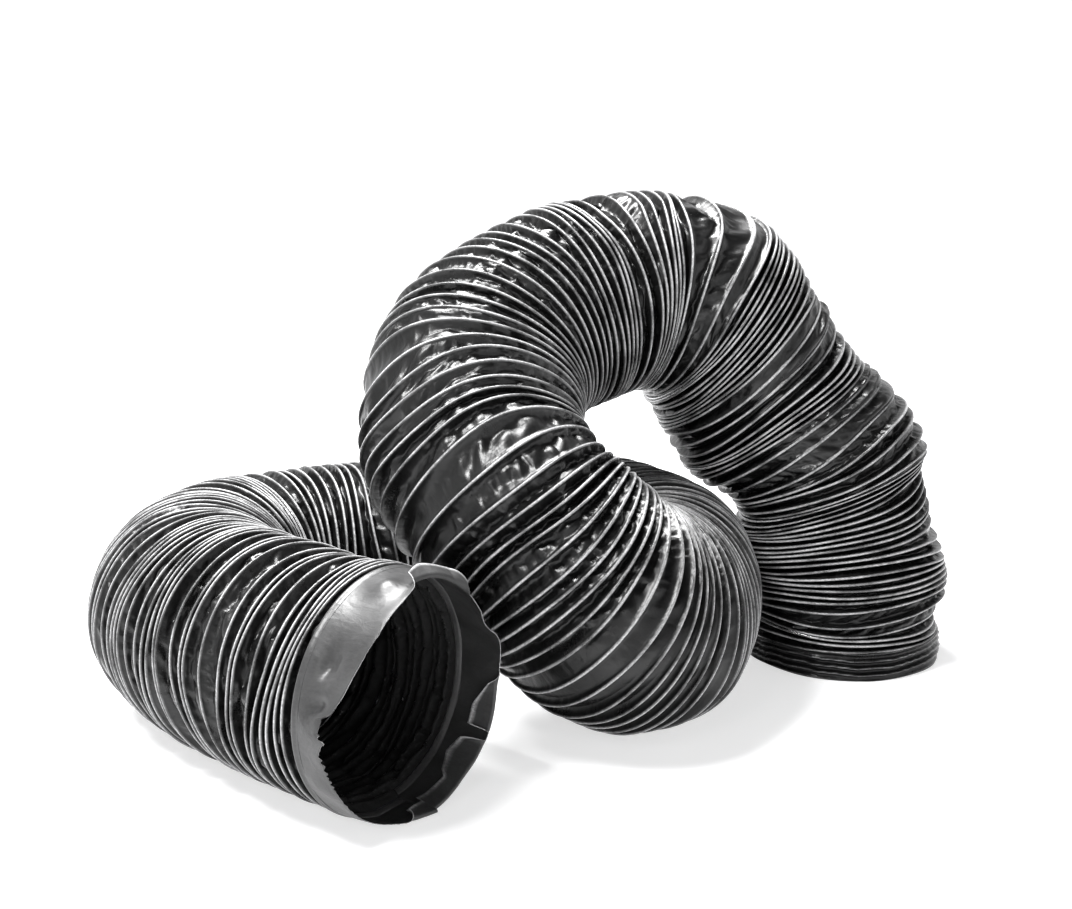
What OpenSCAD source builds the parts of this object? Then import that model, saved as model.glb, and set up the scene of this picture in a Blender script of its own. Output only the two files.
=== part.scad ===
// Flexible air duct: a fabric sleeve on a spring-steel wire helix, with a plain fabric cuff at each end.
// It lies as it was dropped: a front leg, a tight left bend and a loop on the floor, then an arch that
// comes down to an upright stack standing on its cuff. A real duct bends and stretches everywhere, so
// its sleeve and its helix are cut into short stiff sections, and the gaps between them let it move.
// Millimetres, +Z up, floor at z = 0. Places along the duct are counted in route steps: 0 is the mouth
// and 28 is the foot.

/* [Duct] */
// Outside diameter over the folds of the sleeve
duct_d = 206; // [190:1:206]
// Thickness that the folded fabric takes up
wall = 2.4; // [1.5:0.1:3]
// Diameter of the spring-steel wire
wire_d = 2; // [1.5:0.1:2.5]
// Play between the sleeve and the wire turns inside it
wire_play = 3; // [2.6:0.1:4]
// Wire turns in one route step
turns_per_step = 4; // [2:1:4]
// Wire turns in one route step of the rise, where they nearly touch inside the bend
tight_turns_per_step = 2; // [1:1:2]

/* [Cuffs] */
// Inside diameter of both cuffs, which push over a 200 mm spigot
cuff_bore = 201; // [180:0.5:202]
// Thickness of a cuff's hemmed fabric
cuff_wall = 1.5; // [1:0.1:1.5]
// Length of the cuff at the mouth
mouth_cuff_l = 42; // [20:1:43]
// Length of the cuff under the stack
foot_cuff_l = 24; // [10:1:25]

/* [Gaps, in route steps] */
// Half of the gap at each fold of the left bend
bend_gap = 0.15; // [0.14:0.01:0.2]
// Half of the gap at each fold of the arch
arch_gap = 0.11; // [0.1:0.01:0.15]
// Half of the gap where the front leg is stretched
leg_gap = 0.11; // [0.1:0.01:0.15]
// Half of the gap where the stack is squeezed
stack_gap = 0.15; // [0.14:0.01:0.18]

/* [Quality] */
// Sides of the faceted sleeve tubes
sides = 24; // [16:4:32]
// Rings of facets in one route step
rings_per_step = 5; // [4:1:6]

/* [Hidden] */
// Centre line of the duct as it lies, from the mouth to the foot
ROUTE = [
    // front leg
    [-84, -243, 104], [-156, -191, 104], [-223, -133, 104], [-280, -72, 104],
    // left bend
    [-318, -11, 104], [-325, 55, 104], [-297, 115, 104],
    // back leg
    [-235, 153, 104], [-155, 183, 104], [-80, 213, 104],
    // loop on the floor
    [0, 223, 104], [74, 197, 104], [116, 131, 104], [121, 55, 105], [104, -15, 110],
    // rise towards the mouth
    [68, -65, 136], [22, -81, 180], [-24, -61, 232],
    // arch
    [-54, -15, 280], [-50, 45, 332], [-8, 97, 366], [55, 139, 384], [125, 167, 386], [190, 177, 352],
    // limb and stack
    [242, 183, 292], [286, 185, 226], [321, 183, 154], [330, 175, 76], [330, 175, 0]
];
LAST = len(ROUTE) - 1;
// A wire turn stands square to the chord between the points this far before and after it
CHORD = 1;
// A direction that the duct never runs along, from which its rings count their sides
HINT = [1, -1, 1.4];
// First and last place of the sleeve, clear of the cuffs
SLEEVE_FROM = 0.53;
SLEEVE_TO = 27.62;
duct_r = duct_d / 2;
wire_r = duct_r - wall - wire_play - wire_d / 2;

// Section that bends so tightly that it holds fewer turns
TIGHT = "loop_rise";
// Sections of the duct: name, first place, last place, gap at the first place, gap at the last place
SECTIONS = [
    ["front_leg_1", SLEEVE_FROM, 0.95, 0, leg_gap],
    ["front_leg_2", 0.95, 1.65, leg_gap, leg_gap],
    ["front_leg_3", 1.65, 2.35, leg_gap, leg_gap],
    ["front_leg_4", 2.35, 3.1, leg_gap, bend_gap],
    ["left_bend_1", 3.1, 3.9, bend_gap, bend_gap],
    ["left_bend_2", 3.9, 4.7, bend_gap, bend_gap],
    ["left_bend_3", 4.7, 5.5, bend_gap, bend_gap],
    ["left_bend_4", 5.5, 6.3, bend_gap, bend_gap],
    ["back_leg", 6.3, 8.6, bend_gap, 0],
    ["loop_back", 8.6, 10.7, 0, 0],
    ["loop_side", 10.7, 12.6, 0, 0],
    ["loop_front", 12.6, 14.6, 0, 0],
    ["loop_rise", 14.6, 16.8, 0, arch_gap],
    ["arch_1", 16.8, 17.8, arch_gap, arch_gap],
    ["arch_2", 17.8, 18.8, arch_gap, arch_gap],
    ["arch_3", 18.8, 19.8, arch_gap, arch_gap],
    ["arch_4", 19.8, 20.8, arch_gap, arch_gap],
    ["arch_5", 20.8, 21.8, arch_gap, arch_gap],
    ["arch_6", 21.8, 22.8, arch_gap, arch_gap],
    ["limb_1", 22.8, 24.2, arch_gap, 0],
    ["limb_2", 24.2, 25.6, 0, stack_gap],
    ["stack_1", 25.6, 26.35, stack_gap, stack_gap],
    ["stack_2", 26.35, 27.1, stack_gap, stack_gap],
    ["stack_3", 27.1, SLEEVE_TO, stack_gap, 0]
];

// ---- the route ----

function unit(v) = v / norm(v);

// Route point i, with one more on each end in line with the last two
function stop(i) =
    i < 0 ? 2 * ROUTE[0] - ROUTE[1] :
    i > LAST ? 2 * ROUTE[LAST] - ROUTE[LAST - 1] :
    ROUTE[i];

// Smooth curve through four points, at t between the second and the third
function curve(a, b, c, d, t) =
    (2 * b + (c - a) * t + (2 * a - 5 * b + 4 * c - d) * t ^ 2 + (3 * b - a - 3 * c + d) * t ^ 3) / 2;

// Centre of the duct at a place, in line with the end beyond either end
function at(place) =
    place < 0 ? ROUTE[0] + place * (ROUTE[1] - ROUTE[0]) :
    place > LAST ? ROUTE[LAST] + (place - LAST) * (ROUTE[LAST] - ROUTE[LAST - 1]) :
    let (i = min(floor(place), LAST - 1))
    curve(stop(i - 1), stop(i), stop(i + 1), stop(i + 2), place - i);

// Direction of the duct at a place, towards the foot
function along(place) = unit(at(place + CHORD) - at(place - CHORD));

// Points of a ring round the duct
function ring(place, r) =
    let (
        a = along(place),
        u = unit(HINT - (HINT * a) * a),
        v = cross(a, u)
    )
    [for (k = [0 : sides - 1]) at(place) + r * (cos(k * 360 / sides) * u + sin(k * 360 / sides) * v)];

// Two triangles between four corners that go round in order
function quad(a, b, c, d) = [[a, c, b], [a, d, c]];

// ---- the pieces ----

// Turns a child that lies along Z to lie along the duct at a place
module stand_along(place) {
    a = along(place);
    translate(at(place))
        rotate([0, acos(a.z), atan2(a.y, a.x)])
            children();
}

// Closed wall of a tube that follows the duct from one place to another
module tube(from, to, outer_r, inner_r) {
    steps = max(1, round((to - from) * rings_per_step));
    places = [for (i = [0 : steps]) from + (to - from) * i / steps];
    outer = [for (p = places) each ring(p, outer_r)];
    inner = [for (p = places) each ring(p, inner_r)];
    skin = len(outer);
    function next(k) = (k + 1) % sides;
    walls = [
        for (i = [0 : steps - 1], k = [0 : sides - 1])
        let (here = i * sides, there = here + sides)
        each concat(
            quad(here + k, here + next(k), there + next(k), there + k),
            quad(skin + here + next(k), skin + here + k, skin + there + k, skin + there + next(k))
        )
    ];
    end = steps * sides;
    rims = [
        for (k = [0 : sides - 1])
        each concat(
            quad(k, skin + k, skin + next(k), next(k)),
            quad(end + next(k), skin + end + next(k), skin + end + k, end + k)
        )
    ];
    polyhedron(points = concat(outer, inner), faces = concat(walls, rims));
}

// Folded fabric of one section
module sleeve(section) {
    color("#1d1d1f")
        tube(section[1] + section[3], section[2] - section[4], duct_r, duct_r - wall);
}

// Wire turns of one section, each a closed ring
module wire(section) {
    from = section[1] + section[3];
    to = section[2] - section[4];
    density = section[0] == TIGHT ? tight_turns_per_step : turns_per_step;
    turns = max(1, round((to - from) * density));
    color("silver")
        for (i = [0 : turns - 1])
            stand_along(from + (to - from) * (i + 0.5) / turns)
                rotate_extrude($fn = 96)
                    translate([wire_r, 0])
                        circle(d = wire_d, $fn = 24);
}

// Plain band of hemmed fabric, from z = 0 up
module cuff(length) {
    color("#2c2c2f")
        difference() {
            cylinder(d = cuff_bore + 2 * cuff_wall, h = length, $fn = 96);
            translate([0, 0, -1])
                cylinder(d = cuff_bore, h = length + 2, $fn = 96);
        }
}

module mouth_cuff() {
    stand_along(0)
        cuff(mouth_cuff_l);
}

module foot_cuff() {
    translate(ROUTE[LAST])
        cuff(foot_cuff_l);
}

mouth_cuff();
for (s = SECTIONS) {
    sleeve(s);
    wire(s);
}
foot_cuff();
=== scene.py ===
import math

import bpy
import numpy as np
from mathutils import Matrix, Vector


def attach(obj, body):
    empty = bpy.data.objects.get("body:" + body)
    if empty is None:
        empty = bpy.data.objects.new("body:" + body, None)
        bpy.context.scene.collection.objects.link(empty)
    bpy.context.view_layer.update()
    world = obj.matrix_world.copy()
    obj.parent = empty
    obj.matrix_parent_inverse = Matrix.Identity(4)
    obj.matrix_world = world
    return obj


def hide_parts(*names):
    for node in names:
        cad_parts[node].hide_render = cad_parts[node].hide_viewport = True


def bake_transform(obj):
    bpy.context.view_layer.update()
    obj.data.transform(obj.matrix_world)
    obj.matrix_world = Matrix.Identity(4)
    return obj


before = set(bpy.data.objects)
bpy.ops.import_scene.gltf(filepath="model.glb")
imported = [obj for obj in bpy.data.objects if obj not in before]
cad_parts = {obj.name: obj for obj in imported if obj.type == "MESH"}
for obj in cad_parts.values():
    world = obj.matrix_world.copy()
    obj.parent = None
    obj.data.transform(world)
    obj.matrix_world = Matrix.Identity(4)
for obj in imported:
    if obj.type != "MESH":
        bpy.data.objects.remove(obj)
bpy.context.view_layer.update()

# ---- route of the duct, in metres, as the CAD model lies ----

ROUTE = np.array([
    # front leg
    (-0.084, -0.243, 0.104), (-0.156, -0.191, 0.104), (-0.223, -0.133, 0.104), (-0.280, -0.072, 0.104),
    # left bend
    (-0.318, -0.011, 0.104), (-0.325, 0.055, 0.104), (-0.297, 0.115, 0.104),
    # back leg
    (-0.235, 0.153, 0.104), (-0.155, 0.183, 0.104), (-0.080, 0.213, 0.104),
    # loop on the floor
    (0.000, 0.223, 0.104), (0.074, 0.197, 0.104), (0.116, 0.131, 0.104), (0.121, 0.055, 0.105),
    (0.104, -0.015, 0.110),
    # rise towards the mouth
    (0.068, -0.065, 0.136), (0.022, -0.081, 0.180), (-0.024, -0.061, 0.232),
    # arch
    (-0.054, -0.015, 0.280), (-0.050, 0.045, 0.332), (-0.008, 0.097, 0.366), (0.055, 0.139, 0.384),
    (0.125, 0.167, 0.386), (0.190, 0.177, 0.352),
    # limb and stack
    (0.242, 0.183, 0.292), (0.286, 0.185, 0.226), (0.321, 0.183, 0.154), (0.330, 0.175, 0.076),
    (0.330, 0.175, 0.000),
])
LAST = len(ROUTE) - 1
# the route with one more point in line at each end
STOPS = np.vstack([2 * ROUTE[0] - ROUTE[1], ROUTE, 2 * ROUTE[-1] - ROUTE[-2]])
# a direction that the duct never runs along, from which angles round it are counted
HINT = np.array((1, -1, 1.4))
# places of the first and the last wire turn
SLEEVE_FROM, SLEEVE_TO = 0.53, 27.62


def unit(v):
    """The vectors at length 1."""
    return v / np.maximum(np.linalg.norm(v, axis=-1, keepdims=True), 1e-12)


def at(place):
    """Centre of the duct at these places."""
    place = np.asarray(place, float)
    i = np.clip(np.floor(place).astype(int), 0, LAST - 1)
    t = (place - i)[..., None]
    a, b, c, d = STOPS[i], STOPS[i + 1], STOPS[i + 2], STOPS[i + 3]
    smooth = (2 * b + (c - a) * t + (2 * a - 5 * b + 4 * c - d) * t**2 + (3 * b - a - 3 * c + d) * t**3) / 2
    before = ROUTE[0] + place[..., None] * (ROUTE[1] - ROUTE[0])
    after = ROUTE[-1] + (place[..., None] - LAST) * (ROUTE[-1] - ROUTE[-2])
    p = place[..., None]
    return np.where(p < 0, before, np.where(p > LAST, after, smooth))


def along(place):
    """Direction of the duct at these places, towards the foot."""
    return unit(at(np.asarray(place) + 1) - at(np.asarray(place) - 1))


def sides(place):
    """The two directions square to the duct at these places, from which angles are counted."""
    a = along(place)
    u = -unit(HINT - (a @ HINT)[..., None] * a)
    return u, np.cross(a, u)


def outward(place, angle):
    """Direction away from the centre at these places and angles."""
    u, v = sides(place)
    return np.cos(angle)[..., None] * u + np.sin(angle)[..., None] * v


def hill(x, middle, width):
    """Bell curve with its top at 1."""
    return np.exp(-((x - middle) / width) ** 2)


# ---- noise that is the same on each run ----

def draw(seed):
    """Random numbers of their own for each use."""
    return np.random.default_rng(seed)


def wander(x, step, seed):
    """Smooth noise from -1 to 1 along x, with a new value every step."""
    values = draw(seed).uniform(-1, 1, int(np.max(x) / step) + 4)
    y = np.asarray(x) / step + 1
    i = np.clip(np.floor(y).astype(int), 0, len(values) - 2)
    t = y - i
    t = t * t * (3 - 2 * t)
    return values[i] * (1 - t) + values[i + 1] * t


# ---- where the wire turns lie ----

# Turns in one route step, at places along the duct
PACKING = np.array([
    (0.5, 8.5), (3.0, 8), (3.6, 6.5), (6.3, 6.5), (8.6, 7.5), (10.7, 7.5), (14.6, 7), (15.5, 7.5),
    (16.7, 7.5), (17.1, 5.2), (20.3, 5.2), (20.7, 9), (21.7, 9), (22.0, 5.5), (22.7, 5.5), (22.95, 11),
    (23.3, 11), (23.5, 8), (25.6, 9), (26.0, 11), (27.7, 11),
])
# Radius of the helix and of its wire
WIRE_R = 0.1012
WIRE_THICK_R = 0.001
# How far the cloth stands off the middle of a wire turn, along the duct and outwards: over the top,
# at its shoulder and at its foot
RIDGE = [(0, 0.0017), (0.0011, 0.0012), (0.0014, -0.0002)]
# Pitch of the wire when the duct is pulled straight
PITCH = 0.025
# Points round a turn, free rows of cloth between two turns, and all rows from one turn to the next
COLS = 256
FREE_ROWS = 8
ROWS = FREE_ROWS + 5
# Angles at which the unevenness of a turn is worked out
ANGLES = 64
# Height over the floor of the wire's middle, of the cloth, of the ridges and of the cloth's inner face
WIRE_FLOOR, CLOTH_FLOOR, RIDGE_FLOOR, UNDER_FLOOR = 0.0032, 0.0012, 0.0008, 0.0004

# number of turns counted from the mouth, at fine steps along the duct
fine = np.linspace(SLEEVE_FROM, SLEEVE_TO, 6000)
packed = np.interp((fine[1:] + fine[:-1]) / 2, *PACKING.T)
counted = np.concatenate([[0], np.cumsum(packed * np.diff(fine))])
TURNS = int(round(counted[-1]))
counted *= TURNS / counted[-1]

# How unevenly the turns are spaced, by place: from turn to turn, and round a turn
UNEVEN = np.array([
    (3, 0.58), (7, 0.44), (10, 0.34), (15.5, 0.22), (17, 0.22), (20, 0.30), (21, 0.44), (24, 0.40), (26, 0.34),
])
TILTED = np.array([(13, 1), (15, 0.5), (17, 0.5), (20.5, 0.7), (21.5, 1)])
TILT = 0.26
TILT_WAVES = 4
# Narrowest and widest gap beside the mean
GAP_RANGE = (0.25, 3.0)


def turn_weights():
    """How wide the gap after each turn is beside its neighbours', by angle."""
    rng = draw(11)
    angle = np.arange(ANGLES) * math.tau / ANGLES
    weights, last = [], np.zeros(2 * TILT_WAVES + 1)
    for k in range(TURNS + 2):
        fresh = rng.normal(size=2 * TILT_WAVES + 1)
        last = 0.35 * last + fresh
        place = np.interp(k, counted, fine)
        swing = np.interp(place, *UNEVEN.T) * fresh[0]
        tilt = TILT * np.interp(place, *TILTED.T)
        for h in range(1, TILT_WAVES + 1):
            wave = last[2 * h - 1] * np.cos(h * angle) + last[2 * h] * np.sin(h * angle)
            swing = swing + tilt / h * wave
        weights.append(np.clip(np.exp(swing), *GAP_RANGE))
    return np.array(weights)


# Turns either side over which a slow drift is taken out again, and the width of the bell that finds it
DRIFT_REACH, DRIFT_WIDTH = 12, 6


def drift():
    """How far each turn is moved along the duct from even packing, in turns, by angle."""
    d = np.cumsum(turn_weights() - 1, axis=0)
    d = np.vstack([np.zeros(ANGLES), d])[:-1]
    reach = np.arange(-DRIFT_REACH, DRIFT_REACH + 1)
    bell = hill(reach, 0, DRIFT_WIDTH)
    bell /= bell.sum()
    padded = np.pad(d, ((DRIFT_REACH, DRIFT_REACH), (0, 0)), mode="edge")
    slow = sum(b * padded[DRIFT_REACH + r:DRIFT_REACH + r + len(d)] for r, b in zip(reach, bell))
    # the first and last turns stay in place
    from_end = np.minimum(np.arange(len(d)), len(d) - 1 - np.arange(len(d)))
    return (d - slow) * np.clip(from_end / 3, 0, 1)[:, None]


DRIFT = drift()
# points of the whole helix
T = TURNS * COLS + 1
turn = np.arange(T) / COLS
angle = (turn % 1) * math.tau


def sample(table, turn, angle):
    """A table by whole turn and by angle, read at any turn and angle."""
    k = np.clip(np.floor(turn).astype(int), 0, len(table) - 2)
    f = turn - k
    a = (angle / math.tau * ANGLES) % ANGLES
    i = np.floor(a).astype(int) % ANGLES
    g = a - np.floor(a)
    j = (i + 1) % ANGLES
    low = table[k, i] * (1 - g) + table[k, j] * g
    high = table[k + 1, i] * (1 - g) + table[k + 1, j] * g
    return low * (1 - f) + high * f


wire_place = np.interp(turn + sample(DRIFT, turn, angle), counted, fine)

# Waves round a turn that put it out of round: size in metres, waves per turn, place of the two draws, and
# whether the draws change slowly from turn to turn
ROUND_WAVES = [(0.0011, 2, 0, True), (0.0007, 3, 2, True), (0.0008, 1, 0, False), (0.0005, 2, 2, False)]


def out_of_round():
    """Radius added at each turn, in metres, by angle."""
    rng = draw(23)
    a = np.arange(ANGLES) * math.tau / ANGLES
    rows, slow = [], np.zeros(6)
    for _ in range(TURNS + 2):
        slow = 0.93 * slow + 0.37 * rng.normal(size=6)
        quick = rng.normal(size=6)
        row = np.zeros(ANGLES)
        for size, waves, i, lasting in ROUND_WAVES:
            drawn = slow if lasting else quick
            row = row + size * (drawn[i] * np.cos(waves * a) + drawn[i + 1] * np.sin(waves * a))
        rows.append(row)
    return np.array(rows)


wire_r = WIRE_R + sample(out_of_round(), turn, angle)
wire_mid = at(wire_place)
# Ledges and waists of the limb and the stack: place, and how far the turns are moved sideways, in metres
LEDGES = np.array([
    (22.4, 0), (23.0, -0.008), (23.6, -0.012), (24.55, -0.014), (24.8, -0.006), (25.05, 0.011), (25.45, 0.013),
    (25.6, 0.005), (25.8, -0.007), (26.3, -0.009), (26.6, 0), (26.9, 0.006), (27.2, 0.004), (27.4, -0.009),
    (27.62, -0.002),
])
SIDEWAYS = np.array((0.9, -0.35, 0))
wire_mid = wire_mid + np.interp(wire_place, *LEDGES.T)[:, None] * SIDEWAYS
wire_out = outward(wire_place, angle)
# Where the turns lie out of line: place, how far along it reaches, direction and amount in metres
OUT_OF_LINE = [
    (14.3, 1.0, (-0.1, -0.9, -0.4), 0.014),
    (15.2, 0.8, (0.1, -0.3, -0.95), 0.012),
    (16.2, 0.7, (-0.5, -0.8, -0.3), -0.006),
    (15.6, 1.0, (-0.9, 0.1, -0.4), 0.009),
    (17.3, 1.1, (-1, 0, 0.1), 0.009),
    (17.2, 0.8, (1, 0.2, 0.3), -0.008),
    (19.9, 0.8, (-0.3, 0, 1), -0.005),
    (22.5, 0.7, (0.5, 0, 0.8), 0.010),
    (23.1, 0.5, (0.7, 0, 0.7), 0.006),
    (24.1, 1.0, (-0.8, 0, -0.5), 0.010),
]
for place, reach, way, amount in OUT_OF_LINE:
    facing = np.clip(wire_out @ unit(np.array(way)), 0, 1)
    wire_r = wire_r + amount * hill(wire_place, place, reach) * facing ** 2
wire = wire_mid + wire_out * wire_r[:, None]
wire_along = along(wire_place)

# Turns closer than this step aside by turns, out and in, and all of them a little in
CROWDED, STEP_ASIDE, STEP_IN = 0.0034, 0.0030, 0.0015
gap_here = np.empty(T)
gap_here[:-COLS] = np.einsum("ij,ij->i", wire[COLS:] - wire[:-COLS], wire_along[:-COLS])
gap_here[-COLS:] = gap_here[-COLS - 1]
crowd = np.clip(1 - gap_here / CROWDED, 0, 1)
aside = STEP_ASIDE * crowd * (np.floor(turn) % 3 - 1)
wire = wire + wire_out * (aside - STEP_IN * crowd)[:, None]
# the floor holds the turns up
wire[:, 2] = np.maximum(wire[:, 2], WIRE_FLOOR)

# ---- the fabric between the turns: a strip that winds along the duct ----

# points of the strip along the wire, each between a lower and an upper turn
BANDS = T - COLS
low, high = wire[:BANDS], wire[COLS:]
span = high - low
gap = np.linalg.norm(span, axis=1)
span_dir = unit(span)
# the ridges get narrower where the turns nearly touch
squeeze = np.minimum(1, 0.3 * gap / RIDGE[2][0])


def beside(step, first):
    """Cloth beside a turn: on the near side of the lower turn, or on the far side of the upper one."""
    away, off = RIDGE[step]
    away = (away * squeeze)[:, None]
    if first:
        return low + span_dir * away + wire_out[:BANDS] * off
    return high - span_dir * away + wire_out[COLS:] * off


edge_low, edge_high = beside(2, True), beside(2, False)
free_gap = gap - 2 * RIDGE[2][0] * squeeze

# turns counted, place and length along the wire of each of these points
tb = turn[:BANDS]
band_place = (wire_place[:BANDS] + wire_place[COLS:]) / 2
arc = tb * math.tau * WIRE_R

# How deep the fold between two turns goes, by place
DEPTH = np.array([
    (3, 0.0085), (7, 0.008), (14, 0.008), (16.5, 0.0075), (18, 0.0060), (20.3, 0.0060), (20.8, 0.0085),
    (21.8, 0.0085), (22.05, 0.0045), (22.7, 0.0045), (23.0, 0.0088), (24, 0.008), (25.5, 0.007), (26.2, 0.0085),
])
# Where the cloth bulges out between the turns instead, on the side that faces OUTER_SIDE
PROUD = np.array([(23.2, 0), (23.8, 1), (25.4, 1), (25.8, 0.35)])
OUTER_SIDE = unit(np.array((0.8, -0.5, 0.5)))
depth = np.interp(band_place, *DEPTH.T)
depth = depth * (1 + 0.25 * wander(arc, 0.45, 31) + 0.15 * wander(arc, 0.12, 32))
proud = np.interp(band_place, *PROUD.T)
proud = proud * np.clip(1.6 * wander(tb, 1.7, 33) + 0.1, 0, 1) * np.clip(-wire_along[:BANDS, 2] + 0.4, 0, 1)
face_out = np.clip(wire_out[:BANDS] @ OUTER_SIDE, 0, 1)
sink = depth * (1 - 1.9 * proud * face_out)

# rows of cloth that are relaxed, with the held row at each side
CLOTH_ROWS = FREE_ROWS + 2
s = np.linspace(0, 1, CLOTH_ROWS)[:, None]
# where the fold lies between its two turns: close under one of them, and now and then under the other
side_pick = np.clip(3.0 * wander(tb, 0.8, 41) + 1.1, -1, 1)
valley = 0.5 + 0.32 * side_pick + 0.10 * wander(arc, 0.05, 42)
valley = np.clip(valley, 0.12, 0.88)
# the cloth starts as a V, in two straight parts from a turn to the bottom of the fold
leg_1 = np.hypot(valley * free_gap, sink)
leg_2 = np.hypot((1 - valley) * free_gap, sink)
total = leg_1 + leg_2
walked = s * total
part_1 = np.clip(walked / leg_1, 0, 1)
part_2 = np.clip((walked - leg_1) / leg_2, 0, 1)
mix = valley * part_1 + (1 - valley) * part_2
fold = part_1 - part_2
# How crumpled the cloth is, by place; it fades where two turns are close together
CRUMPLE = np.array([
    (3, 1.9), (6, 1.6), (10, 1.1), (16, 1.4), (17.5, 2.1), (21, 2.1), (22, 2.3), (22.6, 2.3), (23.4, 1.8),
    (24, 1.3), (26, 0.9),
])
crumple = np.interp(band_place, *CRUMPLE.T) * np.clip((gap - 0.003) / 0.006, 0.05, 1)
# dents that start the crumples, drawn in four lines across the strip
DENT_LINES = np.array([0, 0.33, 0.66, 1])
dents = np.stack([0.0022 * wander(arc, 0.017, 430 + j) + 0.0016 * wander(arc, 0.009, 460 + j)
                  for j in range(len(DENT_LINES))])
reach = np.array([np.interp(s[:, 0], DENT_LINES, row) for row in np.eye(len(DENT_LINES))])
ragged = crumple * (reach.T @ dents)
mean_out = unit(wire_out[:BANDS] + wire_out[COLS:])
cloth = np.empty((3, CLOTH_ROWS, BANDS), np.float32)
for axis in range(3):
    straight = edge_low[:, axis] * (1 - mix) + edge_high[:, axis] * mix
    cloth[axis] = straight - mean_out[:, axis] * (sink * fold + ragged * np.sin(math.pi * s))

# length of the cloth between two points at rest: across the strip, and round the duct with its spare cloth
across = total * (1.01 + 0.03 * crumple * wander(arc, 0.04, 45)) / (CLOTH_ROWS - 1)
slack = 1.010 + crumple * (0.026 + 0.016 * wander(arc, 0.09, 46))
around = math.tau * WIRE_R / COLS * slack
around = around * (1 + 0.035 * np.clip(proud * face_out, 0, 1))


def pull(a, b, rest, stiff):
    """Moves two sets of points together or apart until they are at rest from each other."""
    d = b - a
    length = np.sqrt(np.einsum("i...,i...->...", d, d)) + 1e-9
    d *= (0.5 * stiff * (length - rest) / length)
    a += d
    b -= d


# How much of an error one round takes out: along the threads and across a pair of them, and in bending
STRETCH, SHEAR, BENDING = 0.9, 0.25, 0.035
# How far the cloth may stand out over the helix, and its distance from the plane of a turn
RIM = 0.0075
MARGIN = 0.0004


def relax(cloth, rounds):
    """Lets the cloth find its shape between the turns that hold it."""
    rest_x = across[None, :].astype(np.float32)
    rest_t = around[None, :].astype(np.float32)
    pin_low, pin_high = cloth[:, 0].copy(), cloth[:, -1].copy()
    base = low.T.astype(np.float32)[:, None]
    direction = span_dir.T.astype(np.float32)[:, None]
    most = gap.astype(np.float32)[None]
    margin = np.minimum(MARGIN, 0.2 * most)
    centre = ((wire_mid[:BANDS] + wire_mid[COLS:]) / 2).T.astype(np.float32)[:, None]
    radial = mean_out.T.astype(np.float32)[:, None]
    rim = np.float32(WIRE_R + RIM)
    diag = np.sqrt(rest_x**2 + rest_t**2)
    for _ in range(rounds):
        for first in (0, 1):
            pull(cloth[:, :, first:-1:2], cloth[:, :, first + 1::2], rest_t[:, first:-1:2], STRETCH)
        for first in (0, 1):
            pull(cloth[:, first:-1:2], cloth[:, first + 1::2], rest_x, STRETCH)
        for first in (0, 1):
            pull(cloth[:, :-1, first:-1:2], cloth[:, 1:, first + 1::2], diag[:, first:-1:2], SHEAR)
            pull(cloth[:, 1:, first:-1:2], cloth[:, :-1, first + 1::2], diag[:, first:-1:2], SHEAR)
        bent = cloth[:, 1:-1, 2:] + cloth[:, 1:-1, :-2] - 2 * cloth[:, 1:-1, 1:-1]
        cloth[:, 1:-1, 1:-1] += BENDING * bent
        bent = cloth[:, 2:] + cloth[:, :-2] - 2 * cloth[:, 1:-1]
        cloth[:, 1:-1] += 0.5 * BENDING * bent
        # it stays between its two turns, under the rim and off the floor
        q = np.einsum("ijt,ijt->jt", cloth - base, np.broadcast_to(direction, cloth.shape))
        move = np.clip(q, margin, most - margin) - q
        cloth += direction * move
        q = np.einsum("ijt,ijt->jt", cloth - centre, np.broadcast_to(radial, cloth.shape))
        cloth += radial * (np.minimum(q, rim) - q)
        cloth[2] = np.maximum(cloth[2], CLOTH_FLOOR)
        cloth[:, 0], cloth[:, -1] = pin_low, pin_high
    return cloth


QUICK_ROUNDS, FULL_ROUNDS = 30, 90
cloth = relax(cloth, FULL_ROUNDS)

# ---- one grid of the whole sleeve: rows across the strip, turn after turn, by column ----

crest = wire + wire_out * RIDGE[0][1]
crest[:, 2] = np.maximum(crest[:, 2], RIDGE_FLOOR)
shoulder_low, shoulder_high = beside(1, True), beside(1, False)
# the last turn of the sleeve
K = TURNS - 1
grid = np.empty((K * ROWS + 1, COLS, 3), np.float32)
for k in range(K):
    part = slice(k * COLS, (k + 1) * COLS)
    grid[k * ROWS] = crest[part]
    grid[k * ROWS + 1] = shoulder_low[part]
    grid[k * ROWS + 2:(k + 1) * ROWS - 1] = cloth[:, :, part].transpose(1, 2, 0)
    grid[(k + 1) * ROWS - 1] = shoulder_high[part]
grid[K * ROWS] = crest[K * COLS:(K + 1) * COLS]
# the grid with the column after its last one, which is the first column of the next turn
wide = np.empty((len(grid), COLS + 1, 3), np.float32)
wide[:, :COLS] = grid
wide[:-ROWS, COLS] = grid[ROWS:, 0]
wide[-ROWS:, COLS] = 2 * grid[-ROWS:, COLS - 1] - grid[-ROWS:, COLS - 2]
wide[-1, COLS] = crest[K * COLS + COLS]
# and with the column before its first one
left = np.empty_like(grid[:, 0])
left[ROWS:] = grid[:-ROWS, COLS - 1]
left[:ROWS] = 2 * grid[:ROWS, 0] - grid[:ROWS, 1]
full = np.concatenate([left[:, None], wide], axis=1)
round_step = full[:, 2:] - full[:, :-2]
cross_step = np.gradient(wide[:, :COLS], axis=0)
normal = unit(np.cross(round_step, cross_step))
centre_line = at(np.interp(np.arange(len(grid)) / ROWS, np.arange(T) / COLS, wire_place))[:, None]
if np.einsum("ijk,ijk->", normal[::ROWS], (grid - centre_line)[::ROWS]) < 0:
    normal = -normal
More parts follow.
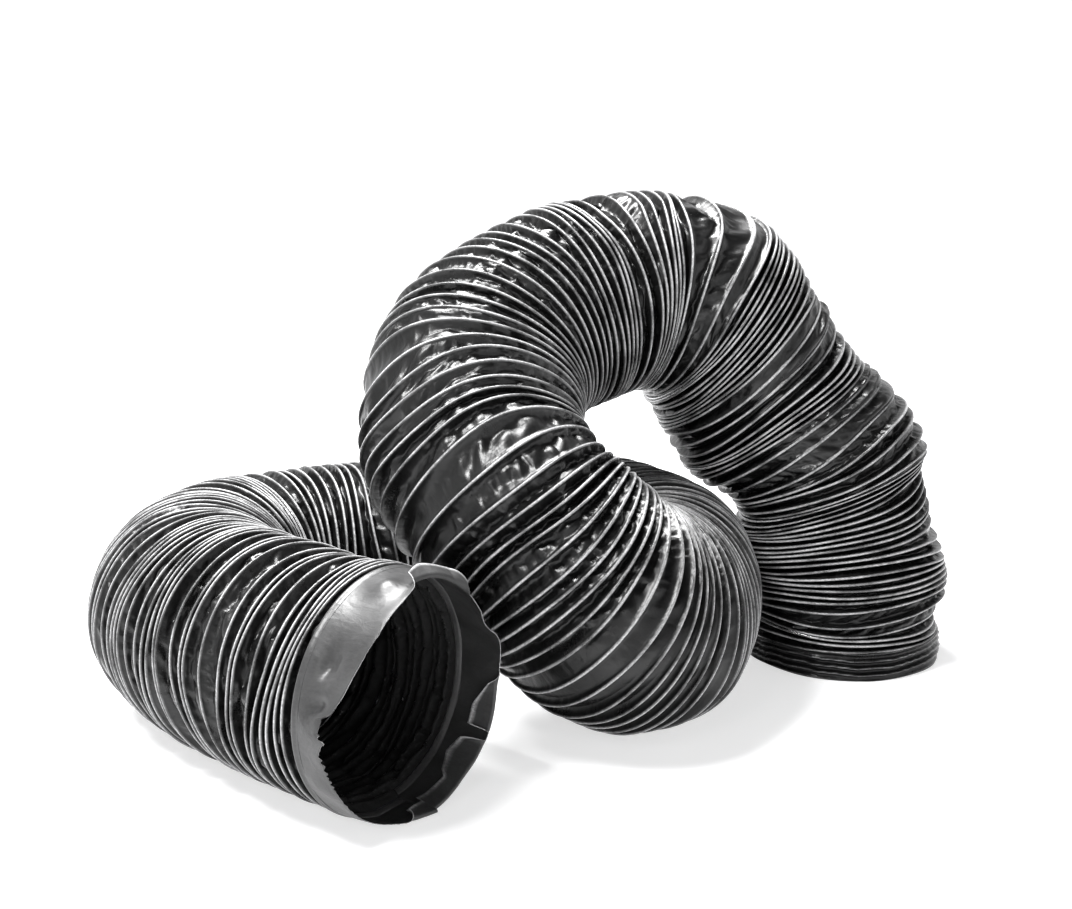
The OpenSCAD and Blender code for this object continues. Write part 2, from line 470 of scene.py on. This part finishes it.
# thickness of the fabric
THICK = 0.0004
under = grid - normal * THICK
under[..., 2] = np.maximum(under[..., 2], UNDER_FLOOR)

# how much painted highlight each row gets, in place of the light the ribs catch, with a little rub wear: the
# ridge over the wire, and its shoulders
SHOULDER_HIGHLIGHT = 0.35
row_part = np.arange(len(grid)) % ROWS
ridge = np.where(row_part == 0, 1.0, np.where((row_part == 1) | (row_part == ROWS - 1), SHOULDER_HIGHLIGHT, 0.0))


# ---- making pieces ----

def make_mesh(name, points, faces, smooth, attributes=()):
    """Mesh from points and a list of face arrays, each with its own number of corners."""
    mesh = bpy.data.meshes.new(name)
    mesh.vertices.add(len(points))
    mesh.vertices.foreach_set("co", np.asarray(points, np.float32).ravel())
    loops = np.concatenate([f.ravel() for f in faces]).astype(np.int32)
    sizes = np.concatenate([np.full(len(f), f.shape[1]) for f in faces])
    starts = np.concatenate([[0], np.cumsum(sizes)[:-1]]).astype(np.int32)
    mesh.loops.add(len(loops))
    mesh.loops.foreach_set("vertex_index", loops)
    mesh.polygons.add(len(sizes))
    mesh.polygons.foreach_set("loop_start", starts)
    mesh.update(calc_edges=True)
    shading = np.concatenate([np.full(len(f), x) for f, x in zip(faces, smooth)])
    mesh.polygons.foreach_set("use_smooth", shading)
    for key, kind, values in attributes:
        field = "vector" if kind == "FLOAT_VECTOR" else "value"
        attribute = mesh.attributes.new(key, kind, "POINT")
        attribute.data.foreach_set(field, np.asarray(values, np.float32).ravel())
    mesh.validate()
    piece = bpy.data.objects.new(name, mesh)
    bpy.context.scene.collection.objects.link(piece)
    return piece


def round_tube(angle, along_it):
    """Places on the sleeve as it hangs straight, which the fabric's pattern follows."""
    angle, along_it = np.broadcast_arrays(angle, along_it)
    return np.stack([WIRE_R * np.cos(angle), WIRE_R * np.sin(angle), along_it], axis=-1)


def sleeve_piece(name, first, last):
    """Thin closed shell of the sleeve from one turn to another."""
    r0, r1 = first * ROWS, last * ROWS
    rows = r1 - r0 + 1
    own = np.arange(rows * COLS).reshape(rows, COLS)
    ids = np.empty((rows, COLS + 1), int)
    ids[:, :COLS] = own
    ids[:-ROWS, COLS] = own[ROWS:, 0]
    ids[-ROWS:, COLS] = rows * COLS + np.arange(ROWS)
    tail = slice(r1 + 1, r1 + 1 + ROWS)
    if r1 + ROWS < len(grid):
        extra, extra_under = grid[tail, 0], under[tail, 0]
    else:
        extra = wide[r1 + 1 - ROWS:r1 + 1, COLS]
        extra_under = extra - normal[r1 + 1 - ROWS:r1 + 1, COLS - 1] * THICK
    outer = np.vstack([grid[r0:r1 + 1].reshape(-1, 3), extra])
    inner = np.vstack([under[r0:r1 + 1].reshape(-1, 3), extra_under])
    n = len(outer)
    quads = np.stack([ids[:-1, :-1], ids[:-1, 1:], ids[1:, 1:], ids[1:, :-1]], axis=-1).reshape(-1, 4)
    # the edges at the two turns where the piece ends, which a rim closes from the outer to the inner face
    start = np.concatenate([ids[0, :COLS], ids[:ROWS + 1, 0][::-1]])
    end = np.concatenate([ids[-1], ids[-ROWS - 1:-1, COLS][::-1]])
    rims = []
    for loop, flip in ((start, False), (end, True)):
        loop = loop[np.concatenate([[True], loop[1:] != loop[:-1]])]
        if loop[0] == loop[-1]:
            loop = loop[:-1]
        nxt = np.roll(loop, -1)
        rim = np.stack([loop, loop + n, nxt + n, nxt], axis=-1)
        rims.append(rim[:, ::-1] if flip else rim)
    part_turn = np.tile(np.arange(COLS) / COLS, rows)
    count = np.concatenate([np.repeat(np.arange(r0, r1 + 1) / ROWS, COLS) + part_turn,
                            (np.arange(ROWS) + r1 + 1) / ROWS])
    turn_angle = np.concatenate([part_turn, np.zeros(ROWS)]) * math.tau
    cut = round_tube(turn_angle, count * PITCH)
    # painted highlight along the ridges, on the outer face only
    row_highlight = np.concatenate([np.repeat(ridge[r0:r1 + 1], COLS), ridge[1:ROWS + 1]])
    both_faces = np.vstack([quads, quads[:, ::-1] + n])
    return make_mesh(name, np.vstack([outer, inner]), [both_faces, np.vstack(rims)], [True, False],
                     [("cut", "FLOAT_VECTOR", np.vstack([cut, cut])),
                      ("ridge", "FLOAT", np.concatenate([row_highlight, row_highlight * 0])),
                      ("inside", "FLOAT", np.concatenate([np.zeros(n), np.ones(n)]))])


# sides of the wire's tube, and points of the helix that one length of it spans
WIRE_SIDES = 6
WIRE_STEP = 4


def wire_piece(name, first, last):
    """Round wire along the helix, from one turn to another."""
    i = np.arange(first * COLS, last * COLS + 1, WIRE_STEP)
    p, out = wire[i], wire_out[i]
    side = unit(np.cross(out, np.gradient(p, axis=0)))
    a = (np.arange(WIRE_SIDES) * math.tau / WIRE_SIDES)[None, :, None]
    tube = p[:, None] + WIRE_THICK_R * (np.cos(a) * out[:, None] + np.sin(a) * side[:, None])
    ids = np.arange(len(i) * WIRE_SIDES).reshape(len(i), WIRE_SIDES)
    nxt = np.roll(ids, -1, axis=1)
    quads = np.stack([ids[:-1], ids[1:], nxt[1:], nxt[:-1]], axis=-1).reshape(-1, 4)
    caps = np.stack([ids[0], ids[-1][::-1]])
    return make_mesh(name, tube.reshape(-1, 3), [quads, caps], [True, False])


# name, first and last place, the two bodies (or one), the place of the joint between them, the CAD sections
PIECES = [
    ("front_leg_1", 0.53, 1.3, "mouth", "leg_2", 0.95, ["front_leg_1"]),
    ("front_leg_2", 1.3, 2.0, "leg_2", "leg_3", 1.65, ["front_leg_2"]),
    ("front_leg_3", 2.0, 2.72, "leg_3", "leg_4", 2.35, ["front_leg_3"]),
    ("front_leg_4", 2.72, 3.5, "leg_4", "bend_1", 3.1, ["front_leg_4"]),
    ("left_bend_1", 3.5, 4.3, "bend_1", "bend_2", 3.9, ["left_bend_1"]),
    ("left_bend_2", 4.3, 5.1, "bend_2", "bend_3", 4.7, ["left_bend_2"]),
    ("left_bend_3", 5.1, 5.9, "bend_3", "bend_4", 5.5, ["left_bend_3"]),
    ("left_bend_4", 5.9, 7.7, "bend_4", "floor_loop", 6.3, ["left_bend_4"]),
    ("back_leg", 7.7, 9.5, "floor_loop", None, 0, ["back_leg"]),
    ("loop_back", 9.5, 11.35, "floor_loop", None, 0, ["loop_back"]),
    ("loop_side", 11.35, 13.3, "floor_loop", None, 0, ["loop_side"]),
    ("loop_front", 13.3, 15.25, "floor_loop", None, 0, ["loop_front"]),
    ("loop_rise", 15.25, 17.15, "floor_loop", "arch_1", 16.8, ["loop_rise"]),
    ("arch_1", 17.15, 18.3, "arch_1", "arch_2", 17.8, ["arch_1"]),
    ("arch_2", 18.3, 19.3, "arch_2", "arch_3", 18.8, ["arch_2"]),
    ("arch_3", 19.3, 20.3, "arch_3", "arch_4", 19.8, ["arch_3"]),
    ("arch_4", 20.3, 21.3, "arch_4", "arch_5", 20.8, ["arch_4"]),
    ("arch_5", 21.3, 22.3, "arch_5", "arch_6", 21.8, ["arch_5"]),
    ("arch_6", 22.3, 23.5, "arch_6", "limb", 22.8, ["arch_6"]),
    ("limb_1", 23.5, 24.8, "limb", None, 0, ["limb_1"]),
    ("limb_2", 24.8, 25.98, "limb", "stack_1", 25.6, ["limb_2"]),
    ("stack_1", 25.98, 26.72, "stack_1", "stack_2", 26.35, ["stack_1"]),
    ("stack_2", 26.72, 27.62, "stack_2", "foot", 27.1, ["stack_2", "stack_3"]),
]
# Length before and after a joint, in metres; a reach is worked out from it, but nothing bends the pieces by it
BEND_REACH = 0.030

# ---- materials ----


def new_material(name):
    """A material, its nodes and links, and its shader."""
    material = bpy.data.materials.new(name)
    material.use_nodes = True
    nodes, links = material.node_tree.nodes, material.node_tree.links
    return material, nodes, links, nodes["Principled BSDF"]


def noise(nodes, links, vector, scale, detail=4, rough=0.6, distortion=0.0):
    n = nodes.new("ShaderNodeTexNoise")
    n.inputs["Scale"].default_value = scale
    n.inputs["Detail"].default_value = detail
    n.inputs["Roughness"].default_value = rough
    n.inputs["Distortion"].default_value = distortion
    links.new(vector, n.inputs["Vector"])
    return n


def math_node(nodes, links, op, a, b, clamp=False):
    n = nodes.new("ShaderNodeMath")
    n.operation = op
    n.use_clamp = clamp
    for i, x in enumerate((a, b)):
        if isinstance(x, (int, float)):
            n.inputs[i].default_value = x
        else:
            links.new(x, n.inputs[i])
    return n.outputs[0]


def ramp(nodes, links, value, stops):
    """Grey from a value, by stops of position and level, with a trace of blue."""
    n = nodes.new("ShaderNodeValToRGB")
    links.new(value, n.inputs["Fac"])
    while len(n.color_ramp.elements) < len(stops):
        n.color_ramp.elements.new(0.5)
    for e, (pos, level) in zip(n.color_ramp.elements, stops):
        e.position = pos
        e.color = (level, level, level * 1.01, 1)
    return n.outputs["Color"]


# light grey mixed into the colour along the ridges: a painted highlight, with a little rub wear
HIGHLIGHT_GREY = (0.50, 0.50, 0.505, 1)
INSIDE_BLACK = (0.004, 0.004, 0.004, 1)


def coated_fabric(name, dark, light, rough, crinkle):
    """Black PVC-coated polyester: crinkled, glossy, with a painted highlight of light grey along the ridges."""
    material, nodes, links, shader = new_material(name)

    def attribute(key):
        n = nodes.new("ShaderNodeAttribute")
        n.attribute_name = key
        return n

    def scaled(value, factor):
        return math_node(nodes, links, "MULTIPLY", value, factor)

    def plus(a, b):
        return math_node(nodes, links, "ADD", a, b)

    vector = attribute("cut").outputs["Vector"]
    painted_highlight = attribute("ridge").outputs["Fac"]
    inside = attribute("inside").outputs["Fac"]
    blotch = noise(nodes, links, vector, 22, 5, 0.6).outputs["Fac"]
    dust = noise(nodes, links, vector, 420, 3, 0.7).outputs["Fac"]
    crinkles = noise(nodes, links, vector, 130, 3, 0.55, 0.6).outputs["Fac"]
    creases = nodes.new("ShaderNodeTexVoronoi")
    creases.feature = "DISTANCE_TO_EDGE"
    creases.inputs["Scale"].default_value = 75
    links.new(vector, creases.inputs["Vector"])
    grain = noise(nodes, links, vector, 1600, 2, 0.5).outputs["Fac"]

    base = ramp(nodes, links, plus(scaled(blotch, 0.7), scaled(dust, 0.3)), [(0.3, dark), (0.7, light)])
    # painted highlight: the ridges are mixed towards light grey, unevenly by the noise, in place of the light
    # they catch
    highlight_amount = math_node(nodes, links, "MULTIPLY", painted_highlight, plus(scaled(dust, 0.9), -0.12))
    uneven_highlight = ramp(nodes, links, blotch, [(0.38, 0.5), (0.56, 2.1)])
    highlight_amount = math_node(nodes, links, "MULTIPLY", highlight_amount, uneven_highlight, clamp=True)
    blend = nodes.new("ShaderNodeMix")
    blend.data_type = "RGBA"
    links.new(highlight_amount, blend.inputs["Factor"])
    links.new(base, blend.inputs["A"])
    blend.inputs["B"].default_value = HIGHLIGHT_GREY
    inner = nodes.new("ShaderNodeMix")
    inner.data_type = "RGBA"
    links.new(inside, inner.inputs["Factor"])
    links.new(blend.outputs["Result"], inner.inputs["A"])
    inner.inputs["B"].default_value = INSIDE_BLACK
    links.new(inner.outputs["Result"], shader.inputs["Base Color"])

    # uneven gloss, dull on the inside
    dullness = plus(plus(scaled(blotch, 0.24), rough - 0.12), scaled(dust, 0.10))
    links.new(plus(dullness, scaled(inside, 0.5)), shader.inputs["Roughness"])
    shader.inputs["Specular IOR Level"].default_value = 0.3
    shader.inputs["IOR"].default_value = 1.5

    edge = math_node(nodes, links, "MINIMUM", creases.outputs["Distance"], 0.22)
    height = plus(scaled(crinkles, 0.8), scaled(edge, 1.4))
    bump = nodes.new("ShaderNodeBump")
    bump.inputs["Strength"].default_value = crinkle
    bump.inputs["Distance"].default_value = 0.0012
    links.new(height, bump.inputs["Height"])
    fine_bump = nodes.new("ShaderNodeBump")
    fine_bump.inputs["Strength"].default_value = 0.18
    fine_bump.inputs["Distance"].default_value = 0.00025
    links.new(grain, fine_bump.inputs["Height"])
    links.new(bump.outputs["Normal"], fine_bump.inputs["Normal"])
    links.new(fine_bump.outputs["Normal"], shader.inputs["Normal"])
    return material


def spring_steel():
    """Bare steel wire, a little streaked."""
    material, nodes, links, shader = new_material("spring_steel")
    coords = nodes.new("ShaderNodeTexCoord")
    streaks = noise(nodes, links, coords.outputs["Object"], 300, 3, 0.6).outputs["Fac"]
    links.new(ramp(nodes, links, streaks, [(0.3, 0.32), (0.7, 0.52)]), shader.inputs["Base Color"])
    links.new(math_node(nodes, links, "MULTIPLY", streaks, 0.6), shader.inputs["Roughness"])
    shader.inputs["Metallic"].default_value = 1.0
    return material


SLEEVE = coated_fabric("sleeve_fabric", 0.002, 0.006, 0.26, 0.40)
CUFF = coated_fabric("cuff_fabric", 0.018, 0.050, 0.32, 0.30)
STEEL = spring_steel()

# ---- sleeve and spring ----


def turn_at(place):
    """The wire turn nearest to a place."""
    even = np.interp(np.arange(TURNS), counted, fine)
    return int(np.argmin(np.abs(even - place)))


for name, p0, p1, body_a, body_b, joint_place, sections in PIECES:
    first, last = turn_at(p0), turn_at(p1)
    shell = sleeve_piece(name + "_fabric", first, last)
    spring = wire_piece(name + "_spring", first, last)
    for piece, material, slot, kind in ((shell, SLEEVE, "sleeve_fabric", "_sleeve"),
                                        (spring, STEEL, "spring_wire", "_wire")):
        piece.data.materials.append(material)
        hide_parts(*[x + kind for x in sections])
        if body_b:
            here, reach = at(joint_place), BEND_REACH * along(joint_place)
            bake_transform(piece)
        else:
            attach(piece, body_a)

# ---- cuffs ----

# How dark the inner face of a cuff is beside the inside of the sleeve
CUFF_INSIDE = 0.35


def cuff_shell(name, points, normals, thick, cut, painted_highlight=None):
    """Closed thin shell from a grid of rows by columns that goes right round."""
    rows, cols = points.shape[:2]
    inner = points - normals * thick
    ids = np.arange(rows * cols).reshape(rows, cols)
    nxt = np.roll(ids, -1, axis=1)
    quads = np.stack([ids[:-1], nxt[:-1], nxt[1:], ids[1:]], axis=-1).reshape(-1, 4)
    n = rows * cols
    first = np.stack([ids[0], ids[0] + n, nxt[0] + n, nxt[0]], axis=-1)
    last = np.stack([ids[-1], nxt[-1], nxt[-1] + n, ids[-1] + n], axis=-1)
    # by default the last rows, at the cut edge, get the painted highlight
    if painted_highlight is None:
        painted_highlight = np.zeros((rows, cols))
        painted_highlight[-2:] = 1.0
        painted_highlight[-3] = 0.4
    return make_mesh(name, np.vstack([points.reshape(-1, 3), inner.reshape(-1, 3)]),
                     [np.vstack([quads, quads[:, ::-1] + n]), np.vstack([first, last])], [True, False],
                     [("cut", "FLOAT_VECTOR", np.vstack([cut.reshape(-1, 3)] * 2)),
                      ("ridge", "FLOAT", np.concatenate([painted_highlight.ravel()] * 2)),
                      ("inside", "FLOAT", np.concatenate([np.zeros(n), np.full(n, CUFF_INSIDE)]))])


def grid_normals(points, centre, row=0):
    """Normals of a ring grid. Those of the four rows from the given one face away from the centre."""
    round_step = np.roll(points, -1, axis=1) - np.roll(points, 1, axis=1)
    n = unit(np.cross(round_step, np.gradient(points, axis=0)))
    if np.sum(n[row:row + 4] * (points[row:row + 4] - centre)) < 0:
        n = -n
    return n


def ring_noise(angle, waves, seed):
    """Noise round a ring, from sine waves of these numbers per turn."""
    rng = draw(seed)
    total = 0
    for h in waves:
        total = total + rng.normal() * np.cos(h * angle + rng.uniform(0, math.tau))
    return total / math.sqrt(len(waves))


# The cut edge of the mouth cuff, by angle round the mouth in degrees from the far side, over the top:
# length of the cloth up to the fold, length of the flap beyond it, and how far the flap is turned in
# (in radians, negative is out)
CUT_EDGE = np.array([
    (0, 0.044, 0.002, 1.0), (4, 0.045, 0.002, 0.8), (24, 0.053, 0.001, 0.4), (36, 0.060, 0.001, -0.3),
    (52, 0.060, 0.001, -0.4), (60, 0.050, 0.003, -0.6), (68, 0.042, 0.016, -2.6), (84, 0.040, 0.018, -2.7),
    (96, 0.041, 0.014, -2.4), (101, 0.046, 0.003, -1.0), (110, 0.050, 0.002, 0.8), (130, 0.052, 0.002, 0.6),
    (146, 0.046, 0.002, 0.6), (160, 0.038, 0.002, 0.6), (170, 0.030, 0.002, 0.8), (174, 0.018, 0.006, 1.6),
    (181, 0.017, 0.004, 1.0), (184, 0.026, 0.002, 0.4), (188, 0.020, 0.002, 0.5), (194, 0.024, 0.002, 0.6),
    (225, 0.030, 0.001, 0.5), (256, 0.033, 0.001, 0.5), (262, 0.032, 0.003, 1.0), (266, 0.034, 0.017, 2.9),
    (280, 0.036, 0.022, 2.9), (298, 0.038, 0.019, 2.9), (301, 0.038, 0.024, 2.9), (312, 0.040, 0.033, 2.95),
    (322, 0.040, 0.030, 2.95), (325, 0.040, 0.003, 1.8), (330, 0.040, 0.002, 1.5), (331, 0.041, 0.028, 2.9),
    (340, 0.042, 0.026, 2.95), (352, 0.043, 0.012, 2.8), (358, 0.044, 0.003, 1.4), (360, 0.044, 0.002, 1.0),
])
# Hem that folds round the end turn of the wire: towards the mouth and outwards, in metres from the wire
HEM = [(0.0060, 0.0008), (0.0035, -0.0004), (0.0016, -0.0012), (0.0004, -0.0017), (-0.0009, -0.0014),
       (-0.0013, -0.0004), (-0.0011, 0.0008), (-0.0003, 0.0021), (0.0010, 0.0022), (0.0024, 0.0016),
       (0.0040, 0.0012)]
CUFF_COLS = 720
# Rows of the mouth cuff up to the fold, round the fold and in the flap, and the fold's length
CUFF_PARTS = [20, 9, 11]
FOLD_L = 0.006
# How far the helix runs along in its first turn
PITCH_AT_MOUTH = 0.009
# Direction square to the duct that points away from the camera at the mouth
FAR_SIDE = unit(np.array((0.586, 0.811, 0)))


def mouth_cuff():
    """Band of cloth at the mouth, hemmed round the end turn, with its cut edge turned in and out."""
    col = np.arange(CUFF_COLS) * COLS / CUFF_COLS
    a = col / COLS * math.tau
    end_turn = np.stack([np.interp(col, np.arange(COLS + 1), wire[:COLS + 1, i]) for i in range(3)], axis=1)
    place = np.interp(col, np.arange(COLS + 1), wire_place[:COLS + 1])
    way, out = along(place), outward(place, a)
    front = outward(np.array(0.0), a)
    clock = np.degrees(np.arctan2(front[:, 2], front @ FAR_SIDE)) % 360
    jitter = clock + 0.9 * ring_noise(a, range(5, 16), 60)
    length, flap, turned = (np.interp(jitter % 360, CUT_EDGE[:, 0], CUT_EDGE[:, i]) for i in (1, 2, 3))
    length = length + 0.0012 * ring_noise(a, range(2, 7), 61)
    flap = flap + 0.0010 * ring_noise(a, range(3, 18), 63) * (flap > 0.008)
    fold = np.minimum(flap, FOLD_L)
    rows = CUFF_PARTS
    steps = np.vstack([np.tile(part / count, (count, 1)) for part, count in
                       zip((length, fold, np.maximum(flap - fold, 0.0003)), rows)])
    so_far = np.concatenate([np.linspace(0, 1, rows[0]), np.ones(rows[1] + rows[2])])[:, None]
    through = np.concatenate([np.zeros(rows[0]), np.linspace(0.1, 1, rows[1]), np.ones(rows[2])])[:, None]
    body = np.sin(math.pi * so_far)
    # direction in which each row goes on from the one before, in radians from straight ahead to inwards
    heading = turned * through * np.clip(flap / FOLD_L, 0.25, 1)
    heading = heading + 0.06 + 0.07 * ring_noise(a, range(3, 10), 65) * body
    heading = heading + so_far * (0.5 * hill(clock, 40, 22) - 0.10 * hill(clock, 125, 40))
    torn = np.clip(np.minimum(clock - 176, 262 - clock) / 6, 0.08, 1)
    frayed = 1 + 0.6 * np.clip(ring_noise(a, range(60, 170), 62), -1, 1) * (flap < 0.004) * torn
    steps[rows[0]:] *= frayed

    def walk(step, begin):
        return begin + np.vstack([np.zeros(CUFF_COLS), np.cumsum(step[:-1], axis=0)])

    forward, inward = walk(np.cos(heading) * steps, HEM[-1][0]), walk(np.sin(heading) * steps, -HEM[-1][1])
    bulges = 0.0011 * ring_noise(a, range(5, 15), 67) * body
    bulges = bulges - 0.007 * hill(clock, 148, 8) * hill(so_far, 0.45, 0.22) * body
    bulges = bulges - 0.005 * hill(clock, 168, 4) * hill(so_far, 0.6, 0.2)
    bulges = bulges + 0.005 * hill(clock, 104, 7) * hill(so_far, 0.6, 0.3) * body
    inward = inward - bulges
    hem = np.repeat(np.array(HEM[:-1])[:, :, None], CUFF_COLS, axis=2)
    forward, inward = np.vstack([hem[:, 0], forward]), np.vstack([-hem[:, 1], inward])
    # the helix runs one pitch along in a turn, and the cuff takes that up beyond its hem
    taken_up = np.clip((forward - 0.006) / 0.03, 0, 1)
    back = PITCH_AT_MOUTH * (np.clip(col / COLS - 0.7, 0, 1) / 0.3) ** 2
    forward = forward + taken_up * back
    points = end_turn - forward[..., None] * way - inward[..., None] * out
    points[..., 2] = np.maximum(points[..., 2], 0.001)
    cut = round_tube(a, -0.06 * np.linspace(0, 1, len(forward))[:, None])
    normals = grid_normals(points, at(place), len(HEM))
    piece = cuff_shell("mouth_cuff_fabric", points, normals, 0.0005, cut)
    piece.data.materials.append(CUFF)
    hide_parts("mouth_cuff")
    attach(piece, "mouth")


def foot_cuff():
    """Band of cloth under the stack, pleated by the weight on it."""
    cols, rows = 512, 40
    a = np.arange(cols) * math.tau / cols
    top = crest[K * COLS:K * COLS + COLS]
    t = np.arange(COLS) / COLS * math.tau
    ring = np.stack([np.interp(a, t, top[:, i], period=math.tau) for i in range(3)], axis=-1)
    mid = ROUTE[-1]
    flat = ring - mid
    flat[:, 2] = 0
    out = unit(flat)
    r_top = np.linalg.norm(flat, axis=1) + 0.0006
    s = np.linspace(0, 1, rows)[:, None]
    z = ring[:, 2] * (1 - s) + RIDGE_FLOOR * s
    phase = 0.8 * ring_noise(a, range(1, 5), 72)
    pleat = 1 - 2 * np.abs(np.sin(4 * math.pi * s + phase)) ** 0.7
    near_end = np.sin(math.pi * s) ** 0.5
    folds = 0.0034 * pleat * near_end + 0.0010 * ring_noise(a, range(5, 24), 71) * near_end
    # painted highlight on the crests of the pleats
    painted_highlight = np.clip((pleat - 0.35) / 0.5, 0, 0.6) * near_end
    r = r_top * (1 - s) + (0.1018 + 0.0008 * ring_noise(a, range(2, 9), 73)) * s + folds
    points = mid + r[..., None] * out
    points[..., 2] = z
    cut = round_tube(a, TURNS * PITCH + 0.03 * s)
    piece = cuff_shell("foot_cuff_fabric", points, grid_normals(points, mid), 0.0006, cut, painted_highlight)
    piece.data.materials.append(SLEEVE)
    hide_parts("foot_cuff")
    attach(piece, "foot")


mouth_cuff()
foot_cuff()

# ---- floor, light and camera ----

# a flat floor that curves up into a low wall all round, so that no edge shows from any side
SPOKES = 96
FLAT_R, CURVE_R, WALL_TOP = 3.0, 1.5, 3.2
profile = [(FLAT_R / 2, 0.0), (FLAT_R, 0.0)]
profile += [(FLAT_R + CURVE_R * math.sin(x), CURVE_R - CURVE_R * math.cos(x))
            for x in np.linspace(0.12, math.pi / 2, 12)]
profile += [(FLAT_R + CURVE_R, WALL_TOP)]
spokes = np.arange(SPOKES) * math.tau / SPOKES
rings = [(r * math.cos(a), r * math.sin(a), z) for r, z in profile for a in spokes]
faces = []
for k in range(SPOKES):
    after = (k + 1) % SPOKES
    faces.append((0, 1 + k, 1 + after))
    for inner in range(1, 1 + (len(profile) - 1) * SPOKES, SPOKES):
        outer = inner + SPOKES
        faces.append((inner + k, outer + k, outer + after, inner + after))
floor_mesh = bpy.data.meshes.new("floor")
floor_mesh.from_pydata([(0, 0, 0)] + rings, [], faces)
floor_mesh.shade_smooth()
floor = bpy.data.objects.new("floor", floor_mesh)
bpy.context.scene.collection.objects.link(floor)
paper, nodes, links, shader = new_material("paper")
coords = nodes.new("ShaderNodeTexCoord")
tone = noise(nodes, links, coords.outputs["Object"], 3, 3, 0.5)
links.new(ramp(nodes, links, tone.outputs["Fac"], [(0.3, 0.50), (0.7, 0.53)]), shader.inputs["Base Color"])
shader.inputs["Roughness"].default_value = 0.9
shader.inputs["Emission Color"].default_value = (1, 1, 1, 1)
shader.inputs["Emission Strength"].default_value = 0.62
floor.data.materials.append(paper)

world = bpy.context.scene.world or bpy.data.worlds.new("world")
bpy.context.scene.world = world
world.use_nodes = True
nodes, links = world.node_tree.nodes, world.node_tree.links
nodes["Background"].inputs["Color"].default_value = (1, 1, 1, 1)
nodes["Background"].inputs["Strength"].default_value = 0.08


def soft_light(name, place, target, size, power):
    """Rectangular lamp at a place, turned to a target."""
    lamp = bpy.data.lights.new(name, "AREA")
    lamp.shape = "RECTANGLE"
    lamp.size, lamp.size_y = size
    lamp.energy = power
    light = bpy.data.objects.new(name, lamp)
    bpy.context.scene.collection.objects.link(light)
    light.location = place
    light.rotation_euler = (Vector(target) - Vector(place)).to_track_quat("-Z", "Y").to_euler()


soft_light("key", (-0.9, -0.8, 2.0), (0, 0.1, 0.2), (0.5, 0.5), 82)
soft_light("top", (-0.45, 0.75, 2.2), (0.0, 0.1, 0.2), (1.7, 0.8), 250)
soft_light("front", (-0.7, -2.2, 1.5), (0, 0, 0.15), (0.4, 0.4), 7)
bpy.context.scene.view_settings.view_transform = "Standard"

camera_data = bpy.data.cameras.new("camera")
camera_data.sensor_fit = "HORIZONTAL"
camera_data.sensor_width = 36
camera_data.lens = 50.37
camera = bpy.data.objects.new("camera", camera_data)
camera.location = (0, -1.371, 0.561)
camera.rotation_euler = (math.radians(90 - 12.6), 0, 0)
bpy.context.scene.collection.objects.link(camera)
bpy.context.scene.camera = camera
